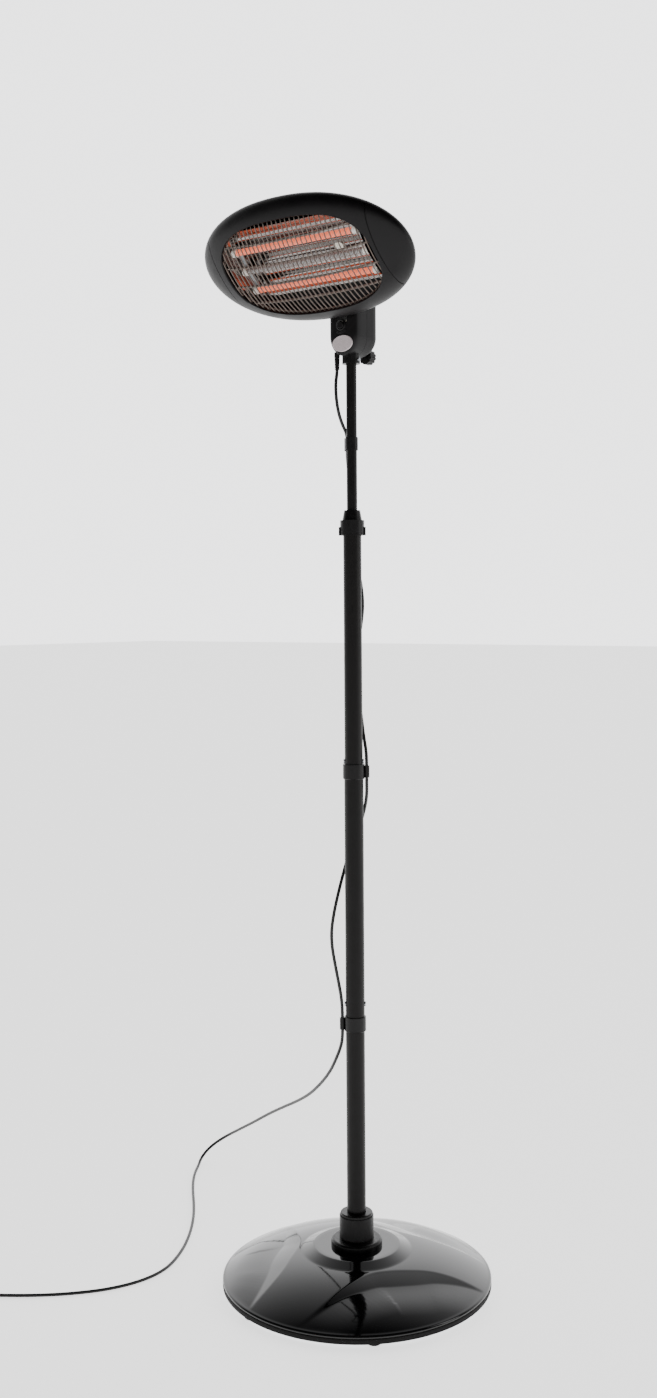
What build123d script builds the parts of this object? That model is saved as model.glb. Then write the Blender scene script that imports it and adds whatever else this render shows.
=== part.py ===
"""A free-standing outdoor heater: a weighted round base, a three-part pole with a sliding mast,
and a tilting oval head with three quartz heating tubes behind a wire guard.

Millimetres, +Z up. The origin is on the floor under the middle of the base, and the head faces -Y.
"""

from build123d import *
import math
import os

os.makedirs("parts", exist_ok=True)

# ---------------------------------------------------------------- driving sizes
# base
base_radius = 250.0
feet_height = 6.0
feet_radius = 13.0
feet_circle = 234.0
feet_count = 6
feet_turn = 14.0
rim_height = 17.0
rim_round = 4.0
cover_wall = 2.5
dome_shoulder_radius = 102.0
dome_shoulder_height = 66.0
plateau_radius = 80.0
plateau_height = 75.0
plate_thickness = 2.0
ballast_clearance = 4.0
ballast_inner_radius = 62.0

# socket on the base
flange_radius = 47.5
flange_thickness = 12.0
flange_round = 5.0
socket_radius = 31.8
socket_top = 130.0
socket_floor = 6.0
socket_ring_radius = 30.0
socket_ring_height = 6.0
socket_bolt_circle = 40.0
socket_bolt_radius = 3.0
socket_bolt_count = 4

# pole
pole_radius = 17.5
pole_wall = 1.5
upper_tube_radius = 16.5
lower_joint_height = 491.0
upper_joint_height = 959.0
upper_tube_top = 1395.0
collar_radius = 20.0
collar_height = 27.0
spigot_length = 90.0
spigot_wall = 2.0
screw_rise = 37.0
upper_screw_rise = 19.0
joint_screw_radius = 2.4

# sliding mast
mast_radius = 9.5
mast_wall = 1.0
mast_bottom = 1130.0
guide_length = 40.0
mast_clip_height = 1553.5
mast_clip_length = 23.0
mast_clip_radius = 11.5

# height lock
lock_radius = 22.0
lock_skirt_height = 27.0
lock_cone_height = 18.0
lock_lug_reach = 24.5

# neck
neck_bottom = 1708.0
neck_half_width = 31.0
neck_front = -27.0
neck_back = 40.0
neck_wall = 3.0
neck_cavity_top = 1775.0
pivot_height = 1800.0
pivot_radius = 4.0
knuckle_radius = 14.0
knuckle_half_width = 10.5
neck_socket_radius = 16.2
neck_socket_bottom = 1696.0
neck_socket_top = 1745.0
lock_knob_height = 1714.0
lock_knob_radius = 13.5
badge_height = 1729.0
button_height = 1762.0
button_radius = 6.5
button_across = -1.8
button_proud = 3.0
neck_screw_across = 20.0
neck_screw_heights = (1745.0, 1790.0)
knob_screw_radius = 2.5
knob_stand_off = 2.0
knob_thickness = 17.0

# head
head_half_width = 219.0
head_half_height = 122.5
head_half_depth = 48.0
head_centre = (0.0, -127.0, 1860.0)
face_tilt = 47.0
shell_wall = 2.5
end_cap_start = 176.0
opening_half_width = 160.0
opening_half_height = 90.0
guard_wire = 2.2
guard_pitch = 9.0
guard_wire_count = 33
guard_bar_pitch = 46.0
guard_half_width = 150.0
guard_half_height = 82.0
guard_out = 14.0
reflector_half_width = 124.0
reflector_half_height = 72.0
reflector_depth = 20.0
reflector_rim = 6.0
reflector_sheet = 0.8
element_pitch = 40.0
element_radius = 5.5
element_bore = 4.3
coil_radius = 2.6
element_out = 6.0
element_half = 128.0
holder_length = 9.0

# lead
cord_radius = 3.1
cord_clearance = 0.2
gland_place = (-22.0, -13.0)
clip_eye_wall = 1.8
clip_bearing = 37.0
clip_reach = 23.7
mast_lead = (-14.6, 5.5)
coil_mid_radius = 34.0
coil_columns = 4
coil_rows = 3
plug_radius = 13.5
plug_length = 38.0
plug_stand_off = 39.0
plug_sleeve = 22.0

# clearances
fit = 0.1
running = 0.05
gap = 0.3

# ---------------------------------------------------------------- values that follow
cover_bottom = feet_height - 1.0
plate_radius = base_radius - cover_wall - 1.0
socket_bore = pole_radius + fit
flange_top = plateau_height + flange_thickness
pole_bore = pole_radius - pole_wall
upper_tube_bore = upper_tube_radius - pole_wall
mast_bore = mast_radius - mast_wall
clip_direction = (math.cos(math.radians(clip_bearing)), math.sin(math.radians(clip_bearing)))
clip_eye_radius = cord_radius + cord_clearance + clip_eye_wall
upper_clip = (clip_reach * clip_direction[0], clip_reach * clip_direction[1])
lower_clip = (-upper_clip[0], -upper_clip[1])
lock_bottom = upper_tube_top - 6.0
lock_shoulder = lock_bottom + lock_skirt_height
lock_top = lock_shoulder + lock_cone_height
neck_depth = neck_back - neck_front
neck_middle = (neck_front + neck_back) / 2
tilt = math.radians(face_tilt)
face_out = (0.0, -math.cos(tilt), -math.sin(tilt))
face_up = (0.0, -math.sin(tilt), math.cos(tilt))
head_plane = Plane(origin=head_centre, x_dir=(1, 0, 0), z_dir=face_out)
element_rows = (-element_pitch, 0.0, element_pitch)


def across(along, up, out):
    """A plane square to the head's long axis, placed along, up and out of the face."""
    spot = head_plane.from_local_coords(Vector(along, up, out))
    return Plane(origin=spot, x_dir=face_up, z_dir=(1, 0, 0))


def half_form(inset):
    """The front half of the head's rounded form, moved inwards by a wall."""
    along = head_half_width - inset
    up = head_half_height - inset
    deep = head_half_depth - inset
    turn_depth = (up**2 + deep**2) / (2 * deep) - deep
    with BuildPart() as half:
        with BuildSketch(Plane(origin=head_centre, x_dir=(1, 0, 0), z_dir=-Vector(face_up))):
            with BuildLine():
                ThreePointArc((-along, 0), (0, deep), (along, 0))
                Polyline((along, 0), (along, -turn_depth), (-along, -turn_depth), (-along, 0))
            make_face()
        turning_point = Vector(head_centre) - Vector(face_out) * turn_depth
        revolve(axis=Axis(turning_point, (1, 0, 0)))
        split(bisect_by=head_plane, keep=Keep.TOP)
    return half.part


def bend_radii(points):
    """The widest even bend at each corner of a lead's route."""
    radii = []
    for before, corner, after in zip(points, points[1:], points[2:]):
        into = Vector(corner) - Vector(before)
        away = Vector(after) - Vector(corner)
        half_turn = math.radians(into.get_angle(away)) / 2
        radii.append(0.45 * min(into.length, away.length) / math.tan(half_turn))
    return radii


# ================================================================ base
with BuildPart() as base_cover:
    with BuildSketch(Plane.XZ):
        with BuildLine():
            Polyline(
                (0, cover_bottom),
                (base_radius, cover_bottom),
                (base_radius, rim_height),
            )
            ThreePointArc(
                (base_radius, rim_height),
                (base_radius - 1.2, rim_height + 2.8),
                (base_radius - rim_round, rim_height + rim_round),
            )
            ThreePointArc(
                (base_radius - rim_round, rim_height + rim_round),
                ((base_radius + dome_shoulder_radius) / 2, (rim_height + dome_shoulder_height) / 2 + 9.0),
                (dome_shoulder_radius, dome_shoulder_height),
            )
            Polyline(
                (dome_shoulder_radius, dome_shoulder_height),
                (plateau_radius, plateau_height),
                (0, plateau_height),
                (0, cover_bottom),
            )
        make_face()
    revolve(axis=Axis.Z)
    offset(amount=-cover_wall, openings=base_cover.faces().sort_by(Axis.Z)[0])
    with BuildSketch(Plane.XY.offset(plateau_height - 2 * cover_wall)):
        with PolarLocations(socket_bolt_circle, socket_bolt_count):
            Circle(socket_bolt_radius + gap)
    extrude(amount=4 * cover_wall, mode=Mode.SUBTRACT)

with BuildPart() as base_plate:
    with BuildSketch(Plane.XY.offset(feet_height)):
        Circle(plate_radius)
        with PolarLocations(feet_circle, feet_count, feet_turn):
            Circle(feet_radius / 3, mode=Mode.SUBTRACT)
    extrude(amount=plate_thickness)

ballast_bottom = feet_height + plate_thickness
ballast_slope = (dome_shoulder_height - rim_height) / (base_radius - dome_shoulder_radius)
ballast_rim = base_radius - 24.0
ballast_rim_height = rim_height + ballast_slope * 24.0 - cover_wall - ballast_clearance
ballast_crown = dome_shoulder_radius + 6.0
ballast_crown_height = dome_shoulder_height - cover_wall - ballast_clearance
with BuildPart() as base_ballast:
    with BuildSketch(Plane.XZ):
        with BuildLine():
            Polyline(
                (ballast_inner_radius, ballast_bottom),
                (ballast_rim, ballast_bottom),
                (ballast_rim, ballast_rim_height),
                (ballast_crown, ballast_crown_height),
                (ballast_inner_radius, ballast_crown_height),
                (ballast_inner_radius, ballast_bottom),
            )
        make_face()
    revolve(axis=Axis.Z)

with BuildPart() as base_feet:
    with BuildSketch():
        with PolarLocations(feet_circle, feet_count, feet_turn):
            Circle(feet_radius)
    extrude(amount=feet_height)
    chamfer(base_feet.faces().sort_by(Axis.Z)[:feet_count].edges(), 1.5)
    with BuildSketch(Plane.XY.offset(feet_height)):
        with PolarLocations(feet_circle, feet_count, feet_turn):
            Circle(feet_radius / 3 - fit)
    extrude(amount=plate_thickness)

with BuildPart() as base_socket:
    with BuildSketch(Plane.XY.offset(plateau_height)):
        Circle(flange_radius)
    extrude(amount=flange_thickness)
    fillet(base_socket.edges().group_by(Axis.Z)[-1], flange_round)
    with BuildSketch(Plane.XY.offset(flange_top)):
        Circle(socket_radius)
    extrude(amount=socket_top - flange_top)
    with BuildSketch(Plane.XY.offset(plateau_height + socket_floor)):
        Circle(socket_bore)
    extrude(amount=socket_top - plateau_height, mode=Mode.SUBTRACT)
    with BuildSketch(Plane.XY.offset(plateau_height)):
        with PolarLocations(socket_bolt_circle, socket_bolt_count):
            Circle(socket_bolt_radius + fit)
    extrude(amount=flange_thickness - 4.0, mode=Mode.SUBTRACT)

socket_bolt_head = 3.5
with BuildPart() as socket_bolts:
    with BuildSketch(Plane.XY.offset(plateau_height - cover_wall - socket_bolt_head)):
        with PolarLocations(socket_bolt_circle, socket_bolt_count):
            RegularPolygon(socket_bolt_radius * 1.8, 6)
    extrude(amount=socket_bolt_head)
    with BuildSketch(Plane.XY.offset(plateau_height - cover_wall)):
        with PolarLocations(socket_bolt_circle, socket_bolt_count):
            Circle(socket_bolt_radius)
    extrude(amount=cover_wall + flange_thickness - 5.0)

with BuildPart() as socket_ring:
    with BuildSketch(Plane.XY.offset(socket_top)):
        Circle(socket_ring_radius)
        Circle(socket_bore, mode=Mode.SUBTRACT)
    extrude(amount=socket_ring_height)
    chamfer(socket_ring.edges().group_by(Axis.Z)[-1].sort_by(SortBy.LENGTH)[-1], 1.5)

# ================================================================ pole
lower_tube_bottom = plateau_height + socket_floor
with BuildPart() as lower_tube:
    with BuildSketch(Plane.XY.offset(lower_tube_bottom)):
        Circle(pole_radius)
        Circle(pole_bore, mode=Mode.SUBTRACT)
    extrude(amount=lower_joint_height - lower_tube_bottom)

with BuildPart() as middle_tube:
    with BuildSketch(Plane.XY.offset(lower_joint_height)):
        Circle(pole_radius)
        Circle(pole_bore, mode=Mode.SUBTRACT)
    extrude(amount=upper_joint_height - lower_joint_height)
    with Locations(Plane((0, 0, lower_joint_height + screw_rise), z_dir=(*clip_direction, 0))):
        Hole(joint_screw_radius + fit)

with BuildPart() as upper_tube:
    with BuildSketch(Plane.XY.offset(upper_joint_height)):
        Circle(upper_tube_radius)
        Circle(upper_tube_bore, mode=Mode.SUBTRACT)
    extrude(amount=upper_tube_top - upper_joint_height)
    with Locations(Plane((0, 0, upper_joint_height + upper_screw_rise), z_dir=(*clip_direction, 0))):
        Hole(joint_screw_radius + fit)

with BuildPart() as lower_spigot:
    with BuildSketch(Plane.XY.offset(lower_joint_height - spigot_length / 2)):
        Circle(pole_bore - fit)
        Circle(pole_bore - fit - spigot_wall, mode=Mode.SUBTRACT)
    extrude(amount=spigot_length)
    with Locations(Plane((0, 0, lower_joint_height + screw_rise), z_dir=(*clip_direction, 0))):
        Hole(joint_screw_radius + fit)

with BuildPart() as upper_spigot:
    with BuildSketch(Plane.XY.offset(upper_joint_height - spigot_length / 2)):
        Circle(pole_bore - fit)
        Circle(upper_tube_bore - fit - spigot_wall, mode=Mode.SUBTRACT)
    extrude(amount=spigot_length / 2)
    with BuildSketch(Plane.XY.offset(upper_joint_height)):
        Circle(upper_tube_bore - fit)
        Circle(upper_tube_bore - fit - spigot_wall, mode=Mode.SUBTRACT)
    extrude(amount=spigot_length / 2)
    with Locations(Plane((0, 0, upper_joint_height + upper_screw_rise), z_dir=(*clip_direction, 0))):
        Hole(joint_screw_radius + fit)

clip_length = 22.0
with BuildPart() as lower_joint_collar:
    with BuildSketch(Plane.XY.offset(lower_joint_height - collar_height / 2)):
        Circle(collar_radius)
    extrude(amount=collar_height)
    chamfer(lower_joint_collar.edges().group_by(Axis.Z)[0], 1.2)
    with BuildSketch(Plane.XY.offset(lower_joint_height - clip_length / 2)):
        with Locations(lower_clip):
            Circle(clip_eye_radius)
    extrude(amount=clip_length)
    with BuildSketch(Plane.XY.offset(lower_joint_height - collar_height)):
        Circle(pole_radius + fit)
        with Locations(lower_clip):
            Circle(cord_radius + cord_clearance)
    extrude(amount=2 * collar_height, mode=Mode.SUBTRACT)

with BuildPart() as upper_joint_collar:
    with BuildSketch(Plane.XY.offset(upper_joint_height - collar_height / 2)):
        Circle(collar_radius)
    extrude(amount=collar_height)
    chamfer(upper_joint_collar.edges().group_by(Axis.Z)[0], 1.2)
    with BuildSketch(Plane.XY.offset(upper_joint_height - clip_length / 2)):
        with Locations(upper_clip):
            Circle(clip_eye_radius)
    extrude(amount=clip_length)
    with BuildSketch(Plane.XY.offset(upper_joint_height - collar_height)):
        Circle(pole_radius + fit)
        with Locations(upper_clip):
            Circle(cord_radius + cord_clearance)
    extrude(amount=collar_height, mode=Mode.SUBTRACT)
    with BuildSketch(Plane.XY.offset(upper_joint_height)):
        Circle(upper_tube_radius + fit)
        with Locations(upper_clip):
            Circle(cord_radius + cord_clearance)
    extrude(amount=collar_height, mode=Mode.SUBTRACT)

screw_head_height = 2.2
with BuildPart() as joint_screws:
    for joint_z, outside in (
        (lower_joint_height + screw_rise, pole_radius),
        (upper_joint_height + upper_screw_rise, upper_tube_radius),
    ):
        for side in (1, -1):
            outward = (side * clip_direction[0], side * clip_direction[1], 0)
            seat = (outside * outward[0], outside * outward[1], joint_z)
            with BuildSketch(Plane(seat, z_dir=outward)):
                Circle(joint_screw_radius * 1.8)
            extrude(amount=screw_head_height)
            with BuildSketch(Plane(seat, z_dir=outward)):
                Circle(joint_screw_radius)
            extrude(amount=-(pole_wall + spigot_wall + 1.0))

# ================================================================ height lock
thread_radius = 13.5
thread_top = upper_tube_top + 17.0
with BuildPart() as lock_sleeve:
    with BuildSketch(Plane.XY.offset(upper_tube_top - 55.0)):
        Circle(upper_tube_bore - fit)
    extrude(amount=55.0)
    with BuildSketch(Plane.XY.offset(upper_tube_top)):
        Circle(upper_tube_radius)
    extrude(amount=3.0)
    with BuildSketch(Plane.XY.offset(upper_tube_top + 3.0)):
        Circle(thread_radius)
    extrude(amount=thread_top - upper_tube_top - 3.0)
    with Locations((0, 0, upper_tube_top)):
        Hole(mast_radius + running)

with BuildPart() as lock_collet:
    with BuildSketch(Plane.XY.offset(thread_top)):
        Circle(thread_radius - 1.0)
    extrude(amount=lock_top - 4.0 - thread_top, taper=6)
    with Locations((0, 0, thread_top)):
        Hole(mast_radius + running)
    with BuildSketch(Plane.XY.offset(thread_top + 4.0)):
        Rectangle(1.5, 4 * thread_radius)
        Rectangle(4 * thread_radius, 1.5)
    extrude(amount=lock_top, mode=Mode.SUBTRACT)

with BuildPart() as lock_ring:
    with BuildSketch(Plane.XY.offset(lock_bottom)):
        Circle(lock_radius)
    extrude(amount=lock_skirt_height)
    with BuildSketch(Plane.XY.offset(lock_bottom)) as lugs:
        with PolarLocations(lock_radius - 2.0, 2, clip_bearing):
            Rectangle(2 * (lock_lug_reach - lock_radius + 2.0), 12)
    extrude(amount=15)
    with BuildSketch(Plane.XY.offset(lock_shoulder)):
        Circle(18.0)
    with BuildSketch(Plane.XY.offset(lock_top)):
        Circle(14.6)
    loft()
    with BuildSketch(Plane.XY.offset(lock_bottom)):
        Circle(upper_tube_radius + gap)
    extrude(amount=upper_tube_top + 3.0 + gap - lock_bottom, mode=Mode.SUBTRACT)
    with BuildSketch(Plane.XY.offset(upper_tube_top)):
        Circle(thread_radius + gap)
    extrude(amount=lock_top - 3.0 - upper_tube_top, mode=Mode.SUBTRACT)
    with Locations((0, 0, lock_top)):
        Hole(mast_radius + 2 * gap)

# ================================================================ sliding mast
with BuildPart() as mast_tube:
    with BuildSketch(Plane.XY.offset(mast_bottom)):
        Circle(mast_radius)
        Circle(mast_bore, mode=Mode.SUBTRACT)
    extrude(amount=neck_socket_top - 2.0 - mast_bottom)

with BuildPart() as mast_guide:
    with BuildSketch(Plane.XY.offset(mast_bottom)):
        Circle(upper_tube_bore - running)
        Circle(mast_radius + running, mode=Mode.SUBTRACT)
    extrude(amount=guide_length)
    chamfer(mast_guide.edges().group_by(Axis.Z)[0].sort_by(SortBy.LENGTH)[-1], 1.5)

with BuildPart() as mast_clip:
    with BuildSketch(Plane.XY.offset(mast_clip_height - mast_clip_length / 2)):
        Circle(mast_clip_radius)
        with Locations(mast_lead):
            Circle(clip_eye_radius)
        Circle(mast_radius + running, mode=Mode.SUBTRACT)
        with Locations(mast_lead):
            Circle(cord_radius + cord_clearance, mode=Mode.SUBTRACT)
    extrude(amount=mast_clip_length)

# ================================================================ neck
with BuildPart() as neck_solid:
    with BuildSketch(Plane.XZ.offset(-neck_back)):
        with Locations((0, neck_bottom + neck_half_width)):
            Circle(neck_half_width)
        with Locations((0, (neck_bottom + neck_half_width + pivot_height + neck_depth / 2) / 2)):
            Rectangle(2 * neck_half_width, pivot_height + neck_depth / 2 - neck_bottom - neck_half_width)
    extrude(amount=neck_depth)
    with BuildSketch(Plane.YZ.offset(-neck_half_width)):
        with Locations((neck_middle, pivot_height)):
            Circle(neck_depth / 2)
        with Locations((neck_middle, (neck_bottom + pivot_height) / 2)):
            Rectangle(neck_depth, pivot_height - neck_bottom)
    extrude(amount=2 * neck_half_width, mode=Mode.INTERSECT)
    fillet(neck_solid.edges().filter_by(GeomType.CIRCLE).group_by(Axis.Z)[0], 2.5)
    cavity_half = neck_half_width - neck_wall
    with BuildSketch(Plane.XZ.offset(-(neck_back - neck_wall))):
        with Locations((0, neck_bottom + neck_half_width)):
            Circle(cavity_half)
        with Locations((0, (neck_bottom + neck_half_width + neck_cavity_top) / 2)):
            Rectangle(2 * cavity_half, neck_cavity_top - neck_bottom - neck_half_width)
    extrude(amount=neck_depth - 2 * neck_wall, mode=Mode.SUBTRACT)
    with BuildSketch(Plane.YZ.offset(-knuckle_half_width - gap)):
        with Locations((neck_middle - neck_depth / 2, pivot_height + neck_depth / 2)):
            Rectangle(neck_depth + 2 * knuckle_radius + 4.0, neck_depth + 2 * knuckle_radius + 4.0)
    extrude(amount=2 * (knuckle_half_width + gap), mode=Mode.SUBTRACT)
    with Locations(Plane((0, neck_middle, pivot_height), z_dir=(1, 0, 0))):
        Hole(pivot_radius + fit)
    with Locations((0, 0, neck_bottom)):
        Hole(neck_socket_radius + fit, depth=neck_wall + 6.0)
    with BuildSketch(Plane.XY.offset(neck_bottom - 5.0)):
        Circle(neck_socket_radius + fit)
        with Locations(gland_place):
            Circle(5.0 + fit)
    extrude(amount=20.0, mode=Mode.SUBTRACT)
    with BuildSketch(Plane.XZ.offset(-neck_front - 20)):
        with Locations((button_across, button_height)):
            Circle(button_radius + gap)
    extrude(amount=40.0, mode=Mode.SUBTRACT)
    with BuildSketch(Plane.XZ.offset(-neck_back - 5)):
        with Locations((0, lock_knob_height)):
            Circle(knob_screw_radius + fit)
    extrude(amount=15.0, mode=Mode.SUBTRACT)

neck_parting = Plane.XZ.offset(-neck_middle)
with BuildPart() as neck_front_shell:
    add(neck_solid.part)
    split(bisect_by=neck_parting, keep=Keep.TOP)

with BuildPart() as neck_rear_shell:
    add(neck_solid.part)
    split(bisect_by=neck_parting, keep=Keep.BOTTOM)

with BuildPart() as neck_socket:
    with BuildSketch(Plane.XY.offset(neck_socket_bottom)):
        Circle(neck_socket_radius)
        Circle(mast_radius + running, mode=Mode.SUBTRACT)
    extrude(amount=neck_socket_top - neck_socket_bottom)
    with BuildSketch(Plane.XZ.offset(-neck_socket_radius - 2)):
        with Locations((0, lock_knob_height)):
            Circle(knob_screw_radius + fit)
    extrude(amount=neck_socket_radius + 2, mode=Mode.SUBTRACT)

with BuildPart() as socket_screw:
    with BuildSketch(Plane((neck_socket_radius, 0, neck_socket_bottom + 6), z_dir=(1, 0, 0))):
        Circle(3.2)
    extrude(amount=3.0)

with BuildPart() as neck_badge:
    with BuildSketch(Plane.XZ.offset(-neck_front)):
        with Locations((1.3, badge_height)):
            Ellipse(22.5, 14.5)
    extrude(amount=1.4)
    fillet(neck_badge.edges().group_by(Axis.Y)[0], 1.0)

with BuildPart() as neck_screws:
    for screw_height in neck_screw_heights:
        for side in (-1, 1):
            with BuildSketch(Plane((side * neck_screw_across, neck_back, screw_height), z_dir=(0, 1, 0))):
                Circle(3.6)
            extrude(amount=1.8)

with BuildPart() as pivot_bolt:
    with BuildSketch(Plane((-neck_half_width, neck_middle, pivot_height), z_dir=(-1, 0, 0))):
        Circle(8.0)
    extrude(amount=3.5)
    with BuildSketch(Plane((-neck_half_width, neck_middle, pivot_height), z_dir=(1, 0, 0))):
        Circle(pivot_radius)
    extrude(amount=2 * neck_half_width + 7.0)

with BuildPart() as pivot_nut:
    with BuildSketch(Plane((neck_half_width, neck_middle, pivot_height), z_dir=(1, 0, 0))):
        Circle(8.0)
        Circle(pivot_radius + fit, mode=Mode.SUBTRACT)
    extrude(amount=5.0)
    chamfer(pivot_nut.edges().group_by(Axis.X)[-1].sort_by(SortBy.LENGTH)[-1], 1.0)

with BuildPart() as terminal_block:
    with BuildSketch(Plane.XY.offset(neck_socket_top + 3.0)):
        with Locations((0, 12)):
            Rectangle(40, 16)
    extrude(amount=14)
    fillet(terminal_block.edges().filter_by(Axis.Z), 1.5)

with BuildPart() as heat_switch:
    with BuildSketch(Plane.XZ.offset(-(neck_front + neck_wall + 4.0))):
        with Locations((button_across, button_height)):
            Rectangle(20, 18)
    extrude(amount=-9.0)

with BuildPart() as heat_button:
    with BuildSketch(Plane.XZ.offset(-(neck_front + neck_wall + 1.0))):
        with Locations((button_across, button_height)):
            Circle(button_radius)
    extrude(amount=neck_wall + 1.0 + button_proud)
    fillet(heat_button.edges().group_by(Axis.Y)[0], 1.0)

with BuildPart() as cord_gland:
    with BuildSketch(Plane.XY.offset(neck_bottom - 14.0)):
        with Locations(gland_place):
            Circle(4.0)
    with BuildSketch(Plane.XY.offset(neck_bottom + 9.0)):
        with Locations(gland_place):
            Circle(5.0)
    loft()

with BuildPart() as neck_lock_knob:
    with BuildSketch(Plane((0, neck_back + knob_stand_off, lock_knob_height), z_dir=(0, 1, 0))):
        Circle(lock_knob_radius)
        with PolarLocations(lock_knob_radius + 0.6, 12):
            Circle(2.0, mode=Mode.SUBTRACT)
    extrude(amount=knob_thickness)
    fillet(neck_lock_knob.edges().group_by(Axis.Y)[-1], 1.2)
    with BuildSketch(Plane((0, neck_back + knob_stand_off, lock_knob_height), z_dir=(0, -1, 0))):
        Circle(knob_screw_radius)
    extrude(amount=neck_back + knob_stand_off - mast_radius - 1.0)

# ================================================================ head
with BuildPart() as front_shell:
    add(half_form(0.0))
    add(half_form(shell_wall), mode=Mode.SUBTRACT)

with BuildPart() as rear_shell:
    add(mirror(front_shell.part, about=head_plane))

with BuildPart() as head_bezel:
    add(front_shell.part)
    with BuildSketch(head_plane):
        Rectangle(2 * end_cap_start, 4 * head_half_height)
    extrude(amount=2 * head_half_depth, mode=Mode.INTERSECT)
    with BuildSketch(head_plane):
        Ellipse(opening_half_width, opening_half_height)
    extrude(amount=2 * head_half_depth, mode=Mode.SUBTRACT)

with BuildPart() as head_rear_shell:
    add(rear_shell.part)
    with BuildSketch(head_plane):
        Rectangle(2 * end_cap_start, 4 * head_half_height)
    extrude(amount=-2 * head_half_depth, mode=Mode.INTERSECT)

end_caps = {}
for side, cap_name in ((-1, "left_end_cap"), (1, "right_end_cap")):
    with BuildPart() as end_cap:
        add(front_shell.part)
        add(rear_shell.part)
        with BuildSketch(across(side * end_cap_start, 0, 0)):
            Circle(2 * head_half_height)
        extrude(amount=side * head_half_width, mode=Mode.INTERSECT)
    end_caps[cap_name] = end_cap

with BuildPart() as guard_grille:
    with BuildSketch(head_plane.offset(guard_out)):
        with GridLocations(guard_pitch, 1, guard_wire_count, 1):
            Rectangle(guard_wire, 4 * opening_half_height)
        with GridLocations(1, guard_bar_pitch, 1, 3):
            Rectangle(4 * opening_half_width, guard_wire)
        Ellipse(guard_half_width - 1.0, guard_half_height - 1.0, mode=Mode.INTERSECT)
        Ellipse(guard_half_width, guard_half_height)
        Ellipse(guard_half_width - 3.0, guard_half_height - 3.0, mode=Mode.SUBTRACT)
        with GridLocations(guard_pitch, 1, guard_wire_count, 1):
            Rectangle(guard_wire, 4 * opening_half_height)
        with GridLocations(1, guard_bar_pitch, 1, 3):
            Rectangle(4 * opening_half_width, guard_wire)
        Ellipse(guard_half_width, guard_half_height, mode=Mode.INTERSECT)
    extrude(amount=guard_wire)

with BuildPart() as reflector:
    with BuildSketch(across(-reflector_half_width, 0, 0)):
        with BuildLine():
            ThreePointArc(
                (-reflector_half_height, reflector_rim),
                (0, -reflector_depth),
                (reflector_half_height, reflector_rim),
            )
            Line(
                (reflector_half_height, reflector_rim),
                (reflector_half_height, reflector_rim - reflector_sheet),
            )
            ThreePointArc(
                (reflector_half_height, reflector_rim - reflector_sheet),
                (0, -reflector_depth - reflector_sheet),
                (-reflector_half_height, reflector_rim - reflector_sheet),
            )
            Line(
                (-reflector_half_height, reflector_rim - reflector_sheet),
                (-reflector_half_height, reflector_rim),
            )
        make_face()
    extrude(amount=2 * reflector_half_width)

elements = {}
for row, element_name in (
    (-element_pitch, "lower_element"),
    (0.0, "middle_element"),
    (element_pitch, "upper_element"),
):
    with BuildPart() as element:
        with BuildSketch(across(-element_half, row, element_out)):
            Circle(element_radius)
            Circle(element_bore, mode=Mode.SUBTRACT)
        extrude(amount=2 * element_half)
    elements[element_name] = element

with BuildPart() as element_coils:
    for row in element_rows:
        with BuildSketch(across(-element_half + 4.0, row, element_out)):
            Circle(coil_radius)
        extrude(amount=2 * element_half - 8.0)

with BuildPart() as element_holders:
    for row in element_rows:
        for side in (-1, 1):
            with BuildSketch(across(side * element_half, row, element_out)):
                Circle(element_radius + 1.6)
            extrude(amount=side * holder_length)

with BuildPart() as element_brackets:
    with BuildSketch(head_plane.offset(element_out - element_radius - 1.6 - gap)):
        with GridLocations(2 * element_half + holder_length, 1, 2, 1):
            Rectangle(holder_length, 2 * element_pitch + 20.0)
    extrude(amount=-1.5)

# ---------------------------------------------------------------- tilt bracket
with BuildPart() as tilt_bracket:
    with BuildSketch(Plane.YZ.offset(-knuckle_half_width)):
        with Locations((neck_middle, pivot_height)):
            Circle(knuckle_radius)
        with BuildLine():
            Polyline(
                (neck_middle - 4.0, pivot_height + 13.0),
                (head_centre[1] + 70.0, head_centre[2] + 35.0),
                (head_centre[1] + 40.0, head_centre[2] - 5.0),
                (neck_middle - 10.0, pivot_height - 9.0),
                (neck_middle - 4.0, pivot_height + 13.0),
            )
        make_face()
    extrude(amount=2 * knuckle_half_width)
    add(mirror(half_form(0.0), about=head_plane), mode=Mode.SUBTRACT)
    with Locations(Plane((0, neck_middle, pivot_height), z_dir=(1, 0, 0))):
        Hole(pivot_radius + running)

with BuildPart() as thermal_cutout:
    with BuildSketch(head_plane.offset(-reflector_depth - 8.0)):
        with Locations((60, 0)):
            Circle(8.0)
    extrude(amount=6.0)

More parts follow.
